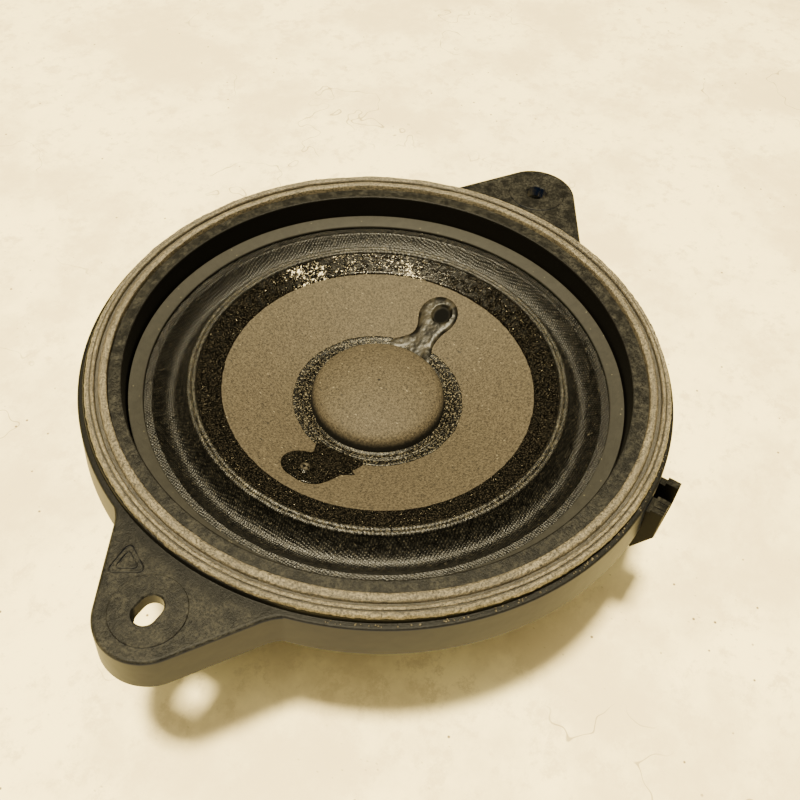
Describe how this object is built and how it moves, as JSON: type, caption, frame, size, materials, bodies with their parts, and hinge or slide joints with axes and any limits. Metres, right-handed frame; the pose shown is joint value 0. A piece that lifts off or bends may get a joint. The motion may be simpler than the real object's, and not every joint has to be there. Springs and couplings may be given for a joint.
{
  "type": "car speaker driver",
  "caption": "Round shallow car speaker driver: paper cone and dust cap on a roll surround, moulded basket with opposed screw ears, foam gasket, side socket and small cup motor.",
  "frame": {"origin": "on the speaker axis, in the plane of the motor cup's flat rear face", "axes": "+X along the line of the two mounting ears towards the ear with the round hole, +Y away from the connector, +Z along the speaker axis out of the front of the cone"},
  "size_m": [0.1458, 0.1153, 0.0444],
  "materials": {
    "moulded_plastic": "black-brown moulded plastic, finely pitted on top and smooth at the sides",
    "ring_plastic": "grey-olive pressed board, matt",
    "foam": "tan closed-cell foam, matt",
    "coated_cloth": "dark woven cloth with a satin coating",
    "paper": "tan pressed paper with pale and dark fibres",
    "black_glue": "glossy black adhesive",
    "clear_glue": "amber to clear adhesive, glossy",
    "steel": "zinc-plated steel",
    "magnet": "nickel-plated magnet",
    "brass": "tin-flashed brass",
    "solder": "bright solder",
    "copper": "copper",
    "former_sheet": "brown polyimide sheet",
    "spider_cloth": "amber resin-dipped cotton weave"
  },
  "bodies": {
    "basket": {"basket": "moulded_plastic", "front_gasket": "foam", "surround_clamp_ring": "ring_plastic", "yoke_cup": "steel", "magnet_disc": "magnet", "pole_plate": "steel", "connector_shell": "moulded_plastic", "terminal_pin_positive": "brass", "terminal_pin_negative": "brass", "lead_solder_positive": "solder", "lead_solder_negative": "solder", "surround": "coated_cloth", "spider": "spider_cloth", "tinsel_lead_positive": "copper", "tinsel_lead_negative": "copper"},
    "cone": {"cone": "paper", "edge_glue_ring": "black_glue", "dust_cap": "paper", "cap_glue_bead": "black_glue", "lead_dab_clear": "clear_glue", "lead_dab_dark": "black_glue", "eyelet_positive": "brass", "eyelet_negative": "brass", "voice_coil_former": "former_sheet", "voice_coil_winding": "copper", "neck_glue_bead": "clear_glue", "spider_glue_bead": "clear_glue"}
  },
  "joints": [
    {"name": "cone_slide", "type": "slide", "parent": "basket", "child": "cone", "axis": [0, 0, 1], "range_m": [-0.003, 0.003], "stiffness_N_per_m": 1500, "deforming": ["surround", "spider", "tinsel_lead_positive", "tinsel_lead_negative"]}
  ]
}
